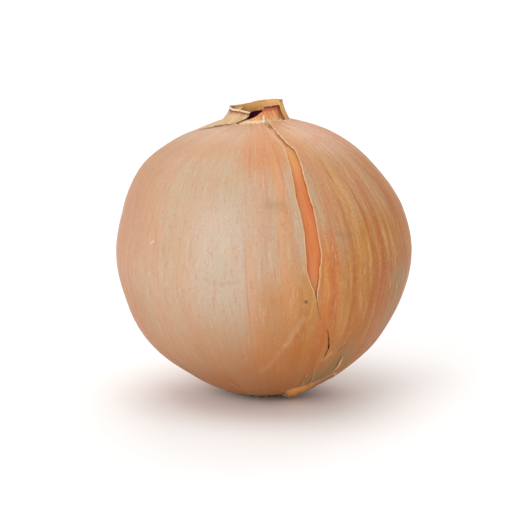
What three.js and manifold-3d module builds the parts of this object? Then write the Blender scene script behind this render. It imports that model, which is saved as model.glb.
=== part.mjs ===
// A dry yellow onion that stands on its trimmed root plate and leans a little to the left.
// The bulb lies under a papery outer skin that has split down the front right.
// Dried leaf sheaths make the cut neck, and a torn flap of older skin clings to the base.
// Millimetres, +Z up, front towards -Y, origin in the middle of the flat under the roots.
import * as THREE from 'three';
import { mergeVertices } from 'three/addons/utils/BufferGeometryUtils.js';
import Module from 'manifold-3d';

const wasm = await Module();
wasm.setup();

// Driving dimensions
const bulbRadius = 38.4;          // at the widest ring of the outer skin
const centreHeight = 35.7;        // widest ring's centre above the surface it stands on
const leanAngle = 3.2;            // neck's lean to the left, in degrees
const shoulderShift = -1.7;       // the shoulder bulges to the left
const haunchShift = -0.6;         // and so does the lower flank
const skinThickness = 0.6;
const gap = 0.4;                  // air between one dry layer and the next
const veinHeight = 0.3;           // raised veins of the outer skin
const neckFootWidth = 17.6;
const neckFootDepth = 13.6;
const neckRimWidth = 13.6;
const neckRimDepth = 8.0;
const neckFootHeight = 35.9;      // above the widest ring
const neckRimHeight = 40.4;
const neckRimSlope = 0.085;       // the cut rises to the right
const neckRimMiddle = 3.5;        // and is neckRimHeight high this far right of the axis
const footSlim = 0.15;            // the foot is drawn in by this share round the azimuth below
const footSlimAt = 52;
const footSlimHalf = 36;
const hemClimb = 0.45;            // the skin creeps up the neck round the azimuth below
const hemClimbAt = 60;
const hemClimbHalf = 50;
const neckCentre = 0.5;           // the neck stands a little right of the bulb's axis
const outerInset = 0.3;           // sheaths lie this far inside the neck's outline
const middleInset = 1.1;
const coveredInset = 0.8;         // the right sheath where the left one lies over it
const rightRimInset = 0.75;       // and at its cut
const baseHemShare = 0.016;       // share of the outline at which the skin starts above the roots
const splitEnd = 0.087;           // and at which the split meets the hem, above the flap
const flapFrom = 15;              // azimuths of the torn flap's ends, in degrees
const flapTo = 60;
const flapFlare = 1.3;            // how far its lower edge stands off the base
const flapRise = 0.07;            // share of the outline by which the skin is torn away over it
const flapSlant = 0.000055;       // and how much more it is torn for each squared degree to the right
const flapSlantSpan = 33;         // over this many degrees
const rootPlateRadius = 6.8;
const rootPlateTop = -33.7;       // below the widest ring
const rootStubCount = 26;
const rootStubLength = 2.6;
const rootStubRadius = 0.45;

const skinColumns = 60;
const skinRows = 24;
const bulbSegments = 42;
const bulbRows = 18;

// Outside of the outer skin from the base hem to the neck hem: radius, height from the widest ring
const skinOutline = [
  [8.4, -34.5], [14.0, -32.9], [20.4, -29.2], [28.9, -22.1], [35.2, -12.5], [bulbRadius, -0.5],
  [37.3, 9.6], [33.7, 18.7], [28.3, 26.3], [21.1, 31.6], [14.0, 34.5], [6.6, 36.5],
];

// The split from neck to base: share of the outline, azimuth of its left edge in degrees, width
const skinSplit = [
  [1.0, 18.6, 1.6], [0.93, 18.8, 1.5], [0.87, 21.1, 1.8], [0.84, 22.0, 2.5], [0.8, 21.4, 2.8],
  [0.75, 19.8, 3.2], [0.7, 17.9, 3.5], [0.6, 16.6, 3.7], [0.56, 16.3, 4.0], [0.52, 16.0, 3.7],
  [0.49, 16.8, 2.6], [0.46, 18.5, 0.9], [0.41, 20.3, 0.5], [0.34, 26.0, 0.5], [0.28, 29.0, 0.6],
  [0.2, 28.0, 0.5], [0.1, 26.0, 0.5], [0.0, 25.0, 0.6],
];

// Torn left edge of the right sheath: rise up the neck, azimuth in degrees
const rightSheathEdge = [
  [1.0, 17], [0.9, 15], [0.75, 10], [0.5, -3], [0.31, -19], [0.2, -32], [0.0, -60],
];

// Front edge of the left sheath: share of its rows from hem to cut, azimuth in degrees
const leftSheathEdge = [[1.0, -16], [0.8, -19], [0.7, -24], [0.58, -36], [0.5, -44], [0.0, -75]];

// Height of the left sheath's cut over the neck's: azimuth in degrees, millimetres
const leftSheathRim = [[-16, -1.15], [-45, 0], [-90, 0.8], [-150, 0.3]];

// Height of the right sheath's cut over the neck's
const rightSheathRim = [[98, -1.0], [62, -0.6], [45, -0.2], [17, -0.3]];

const { lerp, degToRad, radToDeg, clamp, smoothstep, euclideanModulo } = THREE.MathUtils;
const lean = degToRad(leanAngle);
const skinCurve = new THREE.SplineCurve(skinOutline.map(([r, h]) => new THREE.Vector2(r, h)));
const skinLength = skinCurve.getLength();
const neckEnd = skinOutline[skinOutline.length - 1][0];
const bulbFrame = new THREE.Matrix4()
  .makeRotationY(-lean)
  .setPosition(-centreHeight * Math.tan(lean), 0, centreHeight);

// Value of a table whose rows are sorted by falling first column, at any place between them
function readTable(table, where, column) {
  const next = clamp(table.findIndex((row) => row[0] <= where), 1, table.length - 1);
  const [above, below] = [table[next - 1], table[next]];
  const share = clamp((above[0] - where) / (above[0] - below[0]), 0, 1);
  return lerp(above[column], below[column], share);
}

const bell = (value, centre, halfWidth) => Math.exp(-(((value - centre) / halfWidth) ** 2));

const signedDegrees = (azimuth) => euclideanModulo(radToDeg(azimuth) + 180, 360) - 180;

// Small wandering of a torn edge, the same each time
function tear(angle, size) {
  return size * (0.6 * Math.sin(5 * angle + 0.7) + 0.3 * Math.sin(11 * angle + 2.1)
    + 0.25 * Math.sin(23 * angle + 0.3));
}

// Gentle lobes of the bulb and its bulging shoulder; azimuth is 0 in front and 90 degrees at +X
function place(azimuth, radius, height) {
  const lobes = 1 + 0.007 * Math.cos(2 * azimuth - 0.9) + 0.004 * Math.cos(3 * azimuth + 0.5);
  const shift = shoulderShift * bell(height, 27, 9) + haunchShift * bell(height, -18, 8);
  return new THREE.Vector3(
    radius * lobes * Math.sin(azimuth) + shift,
    -radius * lobes * Math.cos(azimuth),
    height,
  );
}

// Radius and height at a share of the way from base hem to neck hem, moved inwards by inset
function outlineAt(along, inset) {
  const point = skinCurve.getPointAt(along);
  const tangent = skinCurve.getTangentAt(along);
  return new THREE.Vector2(point.x - inset * tangent.y, point.y + inset * tangent.x);
}

function skinPoint(azimuth, along, inset) {
  const { x: radius, y: height } = outlineAt(along, inset);
  return place(azimuth, radius, height);
}

// Low longitudinal veins, faded out at both hems
function veinRelief(azimuth, along) {
  const waves = 0.5 + 0.25 * Math.sin(9 * azimuth + 0.8) + 0.25 * Math.sin(14 * azimuth + 2.1);
  return veinHeight * waves * Math.sin(Math.PI * along) ** 0.6;
}

function geometryFrom(points, triangles) {
  const geometry = new THREE.BufferGeometry();
  geometry.setAttribute(
    'position',
    new THREE.Float32BufferAttribute(points.flatMap((p) => [p.x, p.y, p.z]), 3),
  );
  geometry.setIndex(triangles);
  geometry.computeVertexNormals();
  return geometry;
}

// A closed body with two faces a thickness apart; pointAt(u, v, outside) gives both of them
function thickSheet(columns, rows, pointAt) {
  const points = [];
  for (const outside of [true, false]) {
    for (let j = 0; j <= rows; j += 1) {
      for (let i = 0; i <= columns; i += 1) {
        points.push(pointAt(i / columns, j / rows, outside));
      }
    }
  }
  const outer = (i, j) => j * (columns + 1) + i;
  const inner = (i, j) => outer(i, j) + (columns + 1) * (rows + 1);
  const triangles = [];
  const quad = (a, b, c, d) => triangles.push(a, b, c, a, c, d);
  for (let j = 0; j < rows; j += 1) {
    for (let i = 0; i < columns; i += 1) {
      quad(outer(i, j), outer(i + 1, j), outer(i + 1, j + 1), outer(i, j + 1));
      quad(inner(i, j + 1), inner(i + 1, j + 1), inner(i + 1, j), inner(i, j));
    }
    quad(outer(0, j), outer(0, j + 1), inner(0, j + 1), inner(0, j));
    quad(outer(columns, j + 1), outer(columns, j), inner(columns, j), inner(columns, j + 1));
  }
  for (let i = 0; i < columns; i += 1) {
    quad(outer(i + 1, 0), outer(i, 0), inner(i, 0), inner(i + 1, 0));
    quad(outer(i, rows), outer(i + 1, rows), inner(i + 1, rows), inner(i, rows));
  }
  return geometryFrom(points, triangles);
}

// The fleshy bulb in its orange inner skin, hollowed under the roots and drawn up into the neck
function bulbGeometry() {
  const inset = skinThickness + gap;
  const base = [[0, -33.2], [7.4, -33.25]];
  const top = [[6.8, 35.1], [5.6, 36.0], [5.2, 37.0], [4.7, 37.9], [3.4, 38.3], [1.6, 38.4], [0, 38.3]];
  const flankEnd = 0.96;          // share of the skin's outline that the bulb follows
  const noseDepth = 0.56;         // the dried tips in the neck are flattened front to back
  const noseSlope = 0.12;         // and higher on the right
  const noseShift = 0.85;         // set back under the neck from the bulging shoulder
  const flank = [];
  for (let row = 0; row <= bulbRows; row += 1) {
    flank.push(outlineAt((flankEnd * row) / bulbRows, inset));
  }
  const outline = [
    ...base.map(([r, h]) => new THREE.Vector2(r, h)),
    ...flank,
    ...top.map(([r, h]) => new THREE.Vector2(r, h)),
  ];
  const geometry = new THREE.LatheGeometry(outline, bulbSegments);
  geometry.deleteAttribute('normal');
  geometry.deleteAttribute('uv');
  const position = geometry.getAttribute('position');
  for (let k = 0; k < position.count; k += 1) {
    const [x, height, z] = [position.getX(k), position.getY(k), position.getZ(k)];
    const moved = place(Math.atan2(x, z), Math.hypot(x, z), height);
    const inNeck = smoothstep(height, 34.8, 36.6);
    const tilt = noseSlope * moved.x * smoothstep(height, 37.0, 38.2);
    const flattened = lerp(1, noseDepth, inNeck);
    position.setXYZ(k, moved.x + inNeck * noseShift, moved.y * flattened, moved.z + tilt);
  }
  const merged = mergeVertices(geometry, 1e-4);
  merged.computeVertexNormals();
  return merged;
}

// Half width and half depth of the neck's foot
function neckFoot(azimuth) {
  const drawnIn = 1 - footSlim * bell(signedDegrees(azimuth), footSlimAt, footSlimHalf);
  return [(drawnIn * neckFootWidth) / 2, (drawnIn * neckFootDepth) / 2];
}

// How far up the skin reaches at an azimuth: to a little outside the neck's foot
function neckHem(azimuth) {
  const hemGap = 0.8;
  const [footWidth, footDepth] = neckFoot(azimuth);
  const footRadius = 1 / Math.hypot(Math.sin(azimuth) / footWidth, Math.cos(azimuth) / footDepth);
  return 1 - (footRadius + neckCentre * Math.sin(azimuth) + hemGap - neckEnd) / skinLength;
}

// Where the skin starts above the roots: torn away higher up over the flap on the right
function baseHem(azimuth) {
  const degrees = radToDeg(azimuth) % 360;
  const torn = smoothstep(degrees, flapFrom - 11, flapFrom + 5)
    * (1 - smoothstep(degrees, flapTo - 12, flapTo + 24));
  const slanted = flapSlant * clamp(degrees - flapFrom, 0, flapSlantSpan) ** 2;
  return baseHemShare + tear(azimuth, 0.008) + torn * (flapRise + slanted);
}

// Papery skin round the whole bulb, open along the split, with torn hems at neck and base
function outerSkinGeometry() {
  return thickSheet(skinColumns, skinRows, (u, v, outside) => {
    const share = lerp(splitEnd, 1, v);
    const left = degToRad(readTable(skinSplit, share, 1));
    const right = left + readTable(skinSplit, share, 2) / skinCurve.getPointAt(share).x;
    const azimuth = lerp(right, left + 2 * Math.PI, u);
    const along = lerp(baseHem(azimuth), neckHem(azimuth) + tear(azimuth, 0.002), v);
    const inset = outside ? -veinRelief(azimuth, along) : skinThickness;
    const climb = smoothstep(along, 0.965, 1) * bell(signedDegrees(azimuth), hemClimbAt, hemClimbHalf);
    return skinPoint(azimuth, along, inset - hemClimb * climb);
  });
}

// A point on the flattened, crumpled neck, moved inwards by inset
function neckPoint(azimuth, rise, inset, rimLift) {
  const [footWidth, footDepth] = neckFoot(azimuth);
  const spread = (1 - rise) ** 1.6;
  const crumple = rise * (0.22 * Math.sin(3 * azimuth + 0.6) + 0.2 * Math.sin(7 * azimuth + 2.2));
  const halfWidth = lerp(neckRimWidth / 2, footWidth, spread) - inset + crumple;
  const halfDepth = lerp(neckRimDepth / 2, footDepth, spread) - inset + crumple;
  const x = halfWidth * Math.sin(azimuth) + neckCentre;
  const rim = neckRimHeight + neckRimSlope * (x - neckRimMiddle) + rimLift + tear(azimuth, 0.2);
  return new THREE.Vector3(x, -halfDepth * Math.cos(azimuth), lerp(neckFootHeight, rim, rise));
}

// A sheath that stands in the neck; edges, inset and cut are given in degrees of azimuth
function sheathGeometry(startAt, endAt, insetAt, rimAt, columns, rows) {
  return thickSheet(columns, rows, (u, v, outside) => {
    const degrees = lerp(startAt(v), endAt(v), u);
    const inset = insetAt(degrees, v) + (outside ? 0 : skinThickness);
    return neckPoint(degToRad(degrees), v, inset, rimAt(degrees));
  });
}

// Reddish brown front of the neck: it starts under the left sheath and ends inside the back one
function rightSheathGeometry() {
  const insetAt = (degrees, v) => {
    const foot = lerp(coveredInset, outerInset, smoothstep(degrees, -30, -14));
    return lerp(lerp(foot, rightRimInset, v), middleInset, smoothstep(degrees, 45, 68));
  };
  return sheathGeometry(
    (v) => readTable(rightSheathEdge, v, 1),
    () => 98,
    insetAt,
    (degrees) => readTable(rightSheathRim, degrees, 1),
    18,
    8,
  );
}

// Yellowish back of the neck: it wraps the right corner and ends inside the left sheath
function backSheathGeometry() {
  return sheathGeometry(
    () => 70,
    (v) => lerp(283, 318, v),
    (degrees) => lerp(outerInset, middleInset, smoothstep(degrees, 175, 205)),
    () => 0.6,
    26,
    5,
  );
}

// The outermost sheath: it lies over the left shoulder and its front edge crosses the neck slantwise
function leftSheathGeometry() {
  const shoulderPart = 0.5;       // share of the rows that lie on the shoulder
  const neckStart = 0.15;         // rise at which the sheath leaves the shoulder
  const wrapped = 0.15;           // how far it lies outside the neck's outline
  const flare = 1.5;              // and how much further on the left, at its foot
  return thickSheet(24, 14, (u, v, outside) => {
    const degrees = lerp(-150, readTable(leftSheathEdge, v, 1), u);
    const azimuth = degToRad(degrees);
    const thickness = outside ? skinThickness : 0;
    if (v > shoulderPart) {
      const rise = lerp(neckStart, 1, (v - shoulderPart) / (1 - shoulderPart));
      const flared = flare * (1 - rise) ** 1.4 * (1 - smoothstep(degrees, -85, -40));
      const inset = skinThickness - thickness - wrapped - flared;
      return neckPoint(azimuth, rise, inset, readTable(leftSheathRim, degrees, 1));
    }
    const reach = 0.075 * Math.sin(Math.PI * clamp(u * 0.9 + 0.06, 0, 1)) + tear(azimuth, 0.006);
    const hem = neckHem(azimuth) - 0.008;
    const along = lerp(hem - Math.max(reach, 0.012), hem, v / shoulderPart);
    return skinPoint(azimuth, along, -veinRelief(azimuth, along) - gap - thickness);
  });
}

// A torn rest of older skin under the hem on the right, held at the roots and flaring off the base
function baseFlapGeometry() {
  const clearance = 0.014;        // share of the outline left free below the hem
  const standOff = 0.1;           // at the hem, and more where it flares
  return thickSheet(18, 6, (u, v, outside) => {
    const degrees = lerp(flapFrom, flapTo, u);
    const azimuth = degToRad(degrees);
    const along = lerp(clearance, baseHem(azimuth) - clearance, v);
    const flare = flapFlare * (1 - v) ** 0.8 * bell(degrees, 31, 15);
    return skinPoint(azimuth, along, (outside ? 0 : skinThickness) - standOff - flare);
  });
}

// Repeatable draw between 0 and 1
function seededDraw(seed) {
  let state = seed;
  return () => {
    state = (state * 1664525 + 1013904223) % 4294967296;
    return state / 4294967296;
  };
}

function toSolid(geometry) {
  const bare = geometry.index ? geometry.clone() : geometry;
  bare.deleteAttribute('normal');
  bare.deleteAttribute('uv');
  const merged = mergeVertices(bare, 1e-4);
  return new wasm.Manifold(new wasm.Mesh({
    numProp: 3,
    vertProperties: new Float32Array(merged.getAttribute('position').array),
    triVerts: new Uint32Array(merged.index.array),
  }));
}

function fromSolid(solid) {
  const { vertProperties, triVerts } = solid.getMesh();
  const geometry = new THREE.BufferGeometry();
  geometry.setAttribute('position', new THREE.Float32BufferAttribute(vertProperties, 3));
  geometry.setIndex(Array.from(triVerts));
  geometry.computeVertexNormals();
  return geometry;
}

// The corky disc that the roots grew from, with short trimmed roots round it, cut flat below
function rootPlateGeometry() {
  const draw = seededDraw(7);
  const disc = new THREE.LatheGeometry([
    [0, -36.6], [rootPlateRadius - 1.1, -36.6], [rootPlateRadius - 0.5, -35.2],
    [rootPlateRadius, -34.5], [rootPlateRadius - 0.6, rootPlateTop], [0, rootPlateTop],
  ].map(([r, h]) => new THREE.Vector2(r, h)), 24);
  disc.rotateX(Math.PI / 2);
  let solid = toSolid(disc.applyMatrix4(bulbFrame));
  for (let k = 0; k < rootStubCount; k += 1) {
    const azimuth = (2 * Math.PI * (k + 0.6 * draw())) / rootStubCount;
    const length = rootStubLength * (0.75 + 0.4 * draw());
    const stub = new THREE.CylinderGeometry(rootStubRadius * 0.7, rootStubRadius, length, 4);
    stub.translate(0, length / 2 - 0.9, 0);
    stub.rotateX(Math.PI + 0.2 + 0.35 * draw());
    stub.rotateZ(azimuth);
    stub.translate(
      (rootPlateRadius - 0.5) * Math.sin(azimuth),
      -(rootPlateRadius - 0.5) * Math.cos(azimuth),
      -34.6 + 0.25 * draw(),
    );
    solid = solid.add(toSolid(stub.applyMatrix4(bulbFrame)));
  }
  const below = new THREE.BoxGeometry(60, 60, 10).translate(0, 0, -5);
  return fromSolid(solid.subtract(toSolid(below)));
}

function finish(color, roughness) {
  return new THREE.MeshStandardMaterial({ color, roughness, metalness: 0 });
}

function piece(name, geometry, material) {
  const mesh = new THREE.Mesh(geometry, material);
  mesh.name = name;
  return mesh;
}

const leaning = new THREE.Group();
leaning.applyMatrix4(bulbFrame);
leaning.add(
  piece('bulb', bulbGeometry(), finish(0xcf7f4c, 0.45)),
  piece('outer_skin', outerSkinGeometry(), finish(0xd0996b, 0.5)),
  piece('neck_sheath_left', leftSheathGeometry(), finish(0xd8b48c, 0.7)),
  piece('neck_sheath_back', backSheathGeometry(), finish(0xd9b071, 0.7)),
  piece('neck_sheath_right', rightSheathGeometry(), finish(0xb97a52, 0.7)),
  piece('base_flap', baseFlapGeometry(), finish(0xd99a4e, 0.6)),
);

const onion = new THREE.Group();
onion.add(leaning, piece('root_plate', rootPlateGeometry(), finish(0x9c7a55, 0.9)));

export default onion;
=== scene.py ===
# A dry yellow onion that stands on its root plate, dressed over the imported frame.
# Shapes are worked out in millimetres in the bulb's own leaning space, then put into the frame in metres.
import math
import bpy
import numpy as np
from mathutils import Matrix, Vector, noise


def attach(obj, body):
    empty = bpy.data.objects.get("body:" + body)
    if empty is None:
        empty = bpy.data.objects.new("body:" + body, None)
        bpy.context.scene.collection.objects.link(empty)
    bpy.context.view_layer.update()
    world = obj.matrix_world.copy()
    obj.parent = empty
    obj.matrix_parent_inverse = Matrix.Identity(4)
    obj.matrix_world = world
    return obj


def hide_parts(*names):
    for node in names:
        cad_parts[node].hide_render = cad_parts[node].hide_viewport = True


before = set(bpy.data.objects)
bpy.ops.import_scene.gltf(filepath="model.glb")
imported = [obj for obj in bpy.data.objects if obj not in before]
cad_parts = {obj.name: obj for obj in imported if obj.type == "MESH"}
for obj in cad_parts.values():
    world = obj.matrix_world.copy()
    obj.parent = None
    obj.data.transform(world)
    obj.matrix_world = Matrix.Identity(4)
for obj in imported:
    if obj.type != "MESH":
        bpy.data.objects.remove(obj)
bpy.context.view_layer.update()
mm = 0.001

bulbForm = {
    "outline": [                      # radius and height of the outer skin, base hem to neck hem
        (8.4, -34.5), (14.0, -32.9), (20.4, -29.2), (28.9, -22.1), (35.2, -12.5), (38.4, -0.5),
        (37.3, 9.6), (33.7, 18.7), (28.3, 26.3), (21.1, 31.6), (14.0, 34.5), (6.6, 36.5),
    ],
    "centreHeight": 35.7,             # widest ring above the floor
    "lean": math.radians(3.2),        # neck leans to the left
    "shoulderShift": -1.7,
    "haunchShift": -0.6,
}

neckForm = {
    "footWidth": 17.6, "footDepth": 13.6, "footHeight": 35.9,
    "rimWidth": 13.6, "rimDepth": 8.0, "rimHeight": 40.4,
    "rimSlope": 0.085, "rimMiddle": 3.5, "centre": 0.5,      # the cut rises to the right
    "slim": 0.15, "slimAt": 52, "slimHalf": 36,              # the foot is drawn in at the front right
    "hemGap": 0.3,
}

hemForm = {                           # shares of the outline, and azimuths in degrees
    "start": 0.016, "tear": 0.006,
    "flapFrom": 15, "flapTo": 60, "flapRise": 0.07, "flapSlant": 0.000055, "slantSpan": 33,
}


# A number between two others, a soft step from 0 to 1, a soft hump and a number read from a table

def mix(a, b, share):
    return a + (b - a) * share


def softStep(low, high, value):
    t = np.clip((value - low) / (high - low), 0, 1)
    return t * t * (3 - 2 * t)


def bump(value, centre, halfWidth):
    return np.exp(-((value - centre) / halfWidth) ** 2)


def readTable(table, value):
    return np.interp(value, *zip(*table))


def smoothCurve(controls, count=2000):
    # a smooth line through every control point
    p = np.array(controls, float)
    p = np.vstack([p[0], p, p[-1]])
    t = np.linspace(0, len(controls) - 1, count)
    i = np.minimum(t.astype(int), len(controls) - 2)
    w = (t - i)[:, None]
    a, b, c, d = p[i], p[i + 1], p[i + 2], p[i + 3]
    slopeB, slopeC = (c - a) / 2, (d - b) / 2
    return ((2 * b - 2 * c + slopeB + slopeC) * w ** 3
            + (3 * c - 3 * b - 2 * slopeB - slopeC) * w ** 2 + slopeB * w + b)


def lengthsAlong(curve):
    return np.concatenate([[0], np.cumsum(np.hypot(*np.diff(curve, axis=0).T))])


outlineCurve = smoothCurve(bulbForm["outline"])
outlineShare = lengthsAlong(outlineCurve)
outlineLength = float(outlineShare[-1])
outlineShare /= outlineLength
outlineSlope = np.gradient(outlineCurve, axis=0)
outlineSlope /= np.hypot(*outlineSlope.T)[:, None]


def outlineAt(along, lift):
    # radius and height at a share of the way up, moved outwards by lift
    r, h, tr, th = (np.interp(along, outlineShare, column)
                    for column in (*outlineCurve.T, *outlineSlope.T))
    return r + lift * th, h - lift * tr


def place(azimuth, radius, height):
    # gentle lobes and the bulging left shoulder; azimuth 0 is the front, a quarter turn is the right
    lobes = 1 + 0.007 * np.cos(2 * azimuth - 0.9) + 0.004 * np.cos(3 * azimuth + 0.5)
    shift = (bulbForm["shoulderShift"] * bump(height, 27, 9)
             + bulbForm["haunchShift"] * bump(height, -18, 8))
    return np.stack([radius * lobes * np.sin(azimuth) + shift,
                     -radius * lobes * np.cos(azimuth), height], -1)


def skinPoint(azimuth, along, lift):
    return place(azimuth, *outlineAt(along, lift))


def neckFoot(azimuth):
    # half width and half depth of the neck's foot
    n = neckForm
    degrees = (np.degrees(azimuth) + 180) % 360 - 180
    drawnIn = 1 - n["slim"] * bump(degrees, n["slimAt"], n["slimHalf"])
    return drawnIn * n["footWidth"] / 2, drawnIn * n["footDepth"] / 2


def neckPoint(azimuth, rise, inset, rimLift):
    n = neckForm
    footWidth, footDepth = neckFoot(azimuth)
    spread = (1 - rise) ** 1.6
    crumple = rise * (0.22 * np.sin(3 * azimuth + 0.6) + 0.2 * np.sin(7 * azimuth + 2.2))
    halfWidth = mix(n["rimWidth"] / 2, footWidth, spread) - inset + crumple
    halfDepth = mix(n["rimDepth"] / 2, footDepth, spread) - inset + crumple
    x = halfWidth * np.sin(azimuth) + n["centre"]
    rim = n["rimHeight"] + n["rimSlope"] * (x - n["rimMiddle"]) + rimLift
    return np.stack([x, -halfDepth * np.cos(azimuth), mix(n["footHeight"], rim, rise)], -1)


def neckHem(azimuth):
    # how far up the outline the skin reaches, to just outside the neck's foot
    n = neckForm
    footWidth, footDepth = neckFoot(azimuth)
    foot = 1 / np.hypot(np.sin(azimuth) / footWidth, np.cos(azimuth) / footDepth)
    reach = foot + n["centre"] * np.sin(azimuth) + n["hemGap"]
    return 1 - (reach - bulbForm["outline"][-1][0]) / outlineLength


def baseHem(azimuth):
    # where the skin starts above the roots; it is torn away higher up over the flap
    h = hemForm
    degrees = np.degrees(azimuth) % 360
    torn = (softStep(h["flapFrom"] - 11, h["flapFrom"] + 5, degrees)
            * (1 - softStep(h["flapTo"] - 12, h["flapTo"] + 24, degrees)))
    rise = h["flapRise"] + h["flapSlant"] * np.clip(degrees - h["flapFrom"], 0, h["slantSpan"]) ** 2
    return h["start"] + wander(azimuth, h["tear"], 0.7) + torn * rise


def toFrame(points):
    # leaning bulb space in millimetres to the frame in metres
    c, s = math.cos(bulbForm["lean"]), math.sin(bulbForm["lean"])
    x, y, z = points.T
    lifted = bulbForm["centreHeight"]
    return np.stack([x * c - z * s - lifted * s / c, y, x * s + z * c + lifted], -1) * mm


def roughen(points, size, seed):
    # smooth noise between about -1 and 1 at every point
    offset = Vector((seed * 17.3, seed * 5.1, seed * 9.7))
    return np.array([noise.noise(Vector(p) / size + offset) for p in points])


tornWaves = [(0.5, 5, 1), (0.3, 11, 2.1), (0.25, 23, 3.7), (0.18, 57, 1), (0.12, 131, 1.3)]


def wander(angle, size, seed):
    # the uneven line of a torn edge: how high each wave is, how many go round, and where it starts
    return size * sum(high * np.sin(count * angle + turn * seed) for high, count, turn in tornWaves)


# Making and finishing pieces

def clearSelection():
    if bpy.context.object and bpy.context.object.mode != "OBJECT":
        bpy.ops.object.mode_set(mode="OBJECT")
    bpy.ops.object.select_all(action="DESELECT")


def startPiece(name, primitive, **settings):
    clearSelection()
    primitive(**settings)
    bpy.context.object.name = name
    return bpy.context.object


def flatSheet(name, columns, rows):
    # a flat sheet of skin, one metre a side, still to be wrapped round the onion
    return startPiece(name, bpy.ops.mesh.primitive_grid_add, x_subdivisions=columns,
                      y_subdivisions=rows, size=1)


def readPoints(piece):
    flat = np.empty(len(piece.data.vertices) * 3)
    piece.data.vertices.foreach_get("co", flat)
    return flat.reshape(-1, 3)


def writePoints(piece, points):
    piece.data.vertices.foreach_set("co", points.ravel())
    piece.data.update()


def wrapSheet(sheet, shape):
    flat = readPoints(sheet)
    writePoints(sheet, toFrame(shape(flat[:, 0] + 0.5, flat[:, 1] + 0.5)))


def choose(*pieces):
    clearSelection()
    for piece in pieces:
        piece.select_set(True)
    bpy.context.view_layer.objects.active = pieces[0]


def joinPieces(pieces, name):
    choose(*pieces)
    bpy.ops.object.join()
    pieces[0].name = name
    return pieces[0]


def solidify(piece, thickness, **settings):
    choose(piece)
    bpy.ops.object.modifier_add(type="SOLIDIFY")
    modifier = piece.modifiers[-1]
    modifier.thickness = thickness * mm
    modifier.use_even_offset = False
    for name, value in settings.items():
        setattr(modifier, name, value)
    bpy.ops.object.modifier_apply(modifier=modifier.name)


def coat(piece, *materials):
    for material in materials:
        piece.data.materials.append(material)


def finishPiece(piece, node=None):
    choose(piece)
    bpy.ops.object.shade_smooth_by_angle(angle=math.radians(50))
    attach(piece, "root")
    if node:
        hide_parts(node)


def finishLayer(sheet, shape, outside, inside, thickness, node):
    # the inner faces and the rim take the second material
    wrapSheet(sheet, shape)
    coat(sheet, outside, inside)
    solidify(sheet, thickness, offset=-1, material_offset=1, material_offset_rim=1)
    finishPiece(sheet, node)


# Shader helpers, which work on the tree on the bench. A value is a number, a vector or a node's output,
# and a colour is as a screen shows it.
bench = {"tree": None}


def colour(red, green, blue):
    return tuple(((c / 255 + 0.055) / 1.055) ** 2.4 if c > 10 else c / 3294
                 for c in (red, green, blue)) + (1,)


def node(kind, **values):
    made = bench["tree"].nodes.new(kind)
    for name, value in values.items():
        setattr(made, name, value)
    return made


def put(value, socket):
    if isinstance(value, bpy.types.NodeSocket):
        bench["tree"].links.new(value, socket)
    else:
        socket.default_value = colour(*value) if socket.type == "RGBA" else value


def fill(made, *values):
    # values go into the node's inputs in their order
    for socket, value in zip(made.inputs, values):
        put(value, socket)
    return made.outputs


def maths(operation, a, b=0.0, clamp=False):
    return fill(node("ShaderNodeMath", operation=operation, use_clamp=clamp), a, b)[0]


def times(a, b):
    return maths("MULTIPLY", a, b)


def parts(vector):
    return fill(node("ShaderNodeSeparateXYZ"), vector)


def combine(*values):
    return fill(node("ShaderNodeCombineXYZ"), *values)[0]


def vectorMaths(operation, a, b=(0, 0, 0)):
    made = node("ShaderNodeVectorMath", operation=operation)
    put(a, made.inputs[0])
    put(b, made.inputs["Scale" if operation == "SCALE" else 1])
    return made.outputs["Value" if operation in ("LENGTH", "DOT_PRODUCT") else "Vector"]


def ramp(value, low, high, start=0.0, end=1.0):
    made = node("ShaderNodeMapRange", interpolation_type="SMOOTHSTEP")
    return fill(made, value, low, high, start, end)[0]


def wash(below, above, share):
    made = node("ShaderNodeMix", data_type="RGBA")
    put(share, made.inputs["Factor"])
    put(below, made.inputs[6])
    put(above, made.inputs[7])
    return made.outputs[2]


def washes(tint, *layers):
    # each layer: colour, value, where it starts and is full, strength
    for paint, value, low, high, strength in layers:
        tint = wash(tint, paint, ramp(value, low, high, 0.0, strength))
    return tint


def grainNoise(vector, scale, detail=3.0, roughness=0.55, output=0):
    made = node("ShaderNodeTexNoise")
    for name, value in zip(("Vector", "Scale", "Detail", "Roughness"), (vector, scale, detail, roughness)):
        put(value, made.inputs[name])
    return made.outputs[output]


def newGroup(name, inputs, outputs):
    # an input without a number is a vector
    tree = bench["tree"] = bpy.data.node_groups.new(name, "ShaderNodeTree")
    for label, value in inputs.items():
        kind = "NodeSocketVector" if value is None else "NodeSocketFloat"
        made = tree.interface.new_socket(label, in_out="INPUT", socket_type=kind)
        if value is not None:
            made.default_value = value
    for label in outputs:
        tree.interface.new_socket(label, in_out="OUTPUT", socket_type="NodeSocketFloat")
    return tree.nodes.new("NodeGroupInput").outputs, tree.nodes.new("NodeGroupOutput").inputs


def useGroup(group, **values):
    made = node("ShaderNodeGroup", node_tree=group)
    for name, value in values.items():
        put(value, made.inputs[name])
    return made.outputs


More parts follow.
